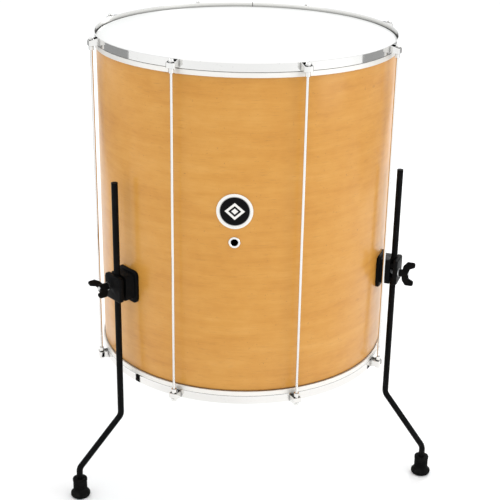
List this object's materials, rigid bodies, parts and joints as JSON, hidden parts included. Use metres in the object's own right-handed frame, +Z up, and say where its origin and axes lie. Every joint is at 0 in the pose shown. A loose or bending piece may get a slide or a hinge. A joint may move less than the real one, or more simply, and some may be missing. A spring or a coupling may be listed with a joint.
{
  "type": "bass drum with legs",
  "caption": "Floor-standing bass drum: wooden cylinder shell with a head at each end, long tension rods between metal counterhoops, and clamped height-adjustable legs.",
  "frame": {"origin": "on the floor, under the centre of the bounding box of the drum with its legs set", "axes": "+Z up along the shell's axis, -Y towards the front with the badge, +X to the right seen from the front"},
  "size_m": [0.6494, 0.6322, 0.7953],
  "materials": {
    "lacquered_wood": "satin lacquer",
    "drumhead_film": "smooth white film",
    "aluminium": "satin",
    "chrome": "polished plating",
    "black_metal": "black powder coat",
    "rubber": "matt",
    "zinc_steel": "zinc plated",
    "badge_enamel": "gloss enamel with a bright rim"
  },
  "bodies": {
    "drum": {"shell": "lacquered_wood", "top_head": "drumhead_film", "top_flesh_hoop": "aluminium", "top_counterhoop": "chrome", "bottom_head": "drumhead_film", "bottom_flesh_hoop": "aluminium", "bottom_counterhoop": "chrome", "tension_rod_1": "chrome", "tension_rod_2": "chrome", "tension_rod_3": "chrome", "tension_rod_4": "chrome", "tension_rod_5": "chrome", "tension_rod_6": "chrome", "tension_rod_7": "chrome", "tension_rod_8": "chrome", "badge": "badge_enamel", "vent_eyelet": "chrome", "bracket_base_1": "black_metal", "backing_plate_1": "zinc_steel", "mounting_screw_1_upper": "zinc_steel", "mounting_screw_1_lower": "zinc_steel", "bracket_base_2": "black_metal", "backing_plate_2": "zinc_steel", "mounting_screw_2_upper": "zinc_steel", "mounting_screw_2_lower": "zinc_steel", "bracket_base_3": "black_metal", "backing_plate_3": "zinc_steel", "mounting_screw_3_upper": "zinc_steel", "mounting_screw_3_lower": "zinc_steel"},
    "nut_1": {"tuning_nut_1": "chrome"},
    "nut_2": {"tuning_nut_2": "chrome"},
    "nut_3": {"tuning_nut_3": "chrome"},
    "nut_4": {"tuning_nut_4": "chrome"},
    "nut_5": {"tuning_nut_5": "chrome"},
    "nut_6": {"tuning_nut_6": "chrome"},
    "nut_7": {"tuning_nut_7": "chrome"},
    "nut_8": {"tuning_nut_8": "chrome"},
    "clamp_1": {"clamp_jaw_1": "black_metal", "clamp_washer_1": "zinc_steel"},
    "wing_1": {"wing_screw_1": "black_metal"},
    "leg_1": {"leg_rod_1": "black_metal", "rubber_foot_1": "rubber"},
    "clamp_2": {"clamp_jaw_2": "black_metal", "clamp_washer_2": "zinc_steel"},
    "wing_2": {"wing_screw_2": "black_metal"},
    "leg_2": {"leg_rod_2": "black_metal", "rubber_foot_2": "rubber"},
    "clamp_3": {"clamp_jaw_3": "black_metal", "clamp_washer_3": "zinc_steel"},
    "wing_3": {"wing_screw_3": "black_metal"},
    "leg_3": {"leg_rod_3": "black_metal", "rubber_foot_3": "rubber"}
  },
  "joints": [
    {"name": "leg_1_height", "type": "slide", "parent": "drum", "child": "leg_1", "axis": [0, 0, 1], "range_m": [-0.15, 0.2]},
    {"name": "leg_2_height", "type": "slide", "parent": "drum", "child": "leg_2", "axis": [0, 0, 1], "range_m": [-0.15, 0.2]},
    {"name": "leg_3_height", "type": "slide", "parent": "drum", "child": "leg_3", "axis": [0, 0, 1], "range_m": [-0.15, 0.2]},
    {"name": "clamp_1_release", "type": "slide", "parent": "drum", "child": "clamp_1", "axis": [-0.7259, -0.6878, 0], "range_m": [0, 0.00281]},
    {"name": "wing_1_turn", "type": "hinge", "parent": "clamp_1", "child": "wing_1", "pos_m": [-0.25938, -0.25377, 0.3909], "axis": [-0.7259, -0.6878, 0], "range_deg": [0, 810]},
    {"name": "clamp_2_release", "type": "slide", "parent": "drum", "child": "clamp_2", "axis": [0.9586, -0.2847, 0], "range_m": [0, 0.00281]},
    {"name": "wing_2_turn", "type": "hinge", "parent": "clamp_2", "child": "wing_2", "pos_m": [0.2508, -0.15304, 0.3909], "axis": [0.9586, -0.2847, 0], "range_deg": [0, 810]},
    {"name": "clamp_3_release", "type": "slide", "parent": "drum", "child": "clamp_3", "axis": [-0.2328, 0.9725, 0], "range_m": [0, 0.00281]},
    {"name": "wing_3_turn", "type": "hinge", "parent": "clamp_3", "child": "wing_3", "pos_m": [-0.09153, 0.23842, 0.3909], "axis": [-0.2328, 0.9725, 0], "range_deg": [0, 810]},
    {"name": "nut_1_turn", "type": "hinge", "parent": "drum", "child": "nut_1", "pos_m": [0.07036, -0.30655, 0.2099], "axis": [0, 0, 1], "range_deg": [-360, 360]},
    {"name": "nut_2_turn", "type": "hinge", "parent": "drum", "child": "nut_2", "pos_m": [0.21705, -0.15985, 0.2099], "axis": [0, 0, 1], "range_deg": [-360, 360]},
    {"name": "nut_3_turn", "type": "hinge", "parent": "drum", "child": "nut_3", "pos_m": [0.21705, 0.0476, 0.2099], "axis": [0, 0, 1], "range_deg": [-360, 360]},
    {"name": "nut_4_turn", "type": "hinge", "parent": "drum", "child": "nut_4", "pos_m": [0.07036, 0.19429, 0.2099], "axis": [0, 0, 1], "range_deg": [-360, 360]},
    {"name": "nut_5_turn", "type": "hinge", "parent": "drum", "child": "nut_5", "pos_m": [-0.1371, 0.19429, 0.2099], "axis": [0, 0, 1], "range_deg": [-360, 360]},
    {"name": "nut_6_turn", "type": "hinge", "parent": "drum", "child": "nut_6", "pos_m": [-0.28379, 0.0476, 0.2099], "axis": [0, 0, 1], "range_deg": [-360, 360]},
    {"name": "nut_7_turn", "type": "hinge", "parent": "drum", "child": "nut_7", "pos_m": [-0.28379, -0.15985, 0.2099], "axis": [0, 0, 1], "range_deg": [-360, 360]},
    {"name": "nut_8_turn", "type": "hinge", "parent": "drum", "child": "nut_8", "pos_m": [-0.1371, -0.30655, 0.2099], "axis": [0, 0, 1], "range_deg": [-360, 360]}
  ],
  "couplings": [
    {"joint": "wing_1_turn", "follows": "clamp_1_release", "rad_per_m": 5026.5},
    {"joint": "wing_2_turn", "follows": "clamp_2_release", "rad_per_m": 5026.5},
    {"joint": "wing_3_turn", "follows": "clamp_3_release", "rad_per_m": 5026.5}
  ]
}
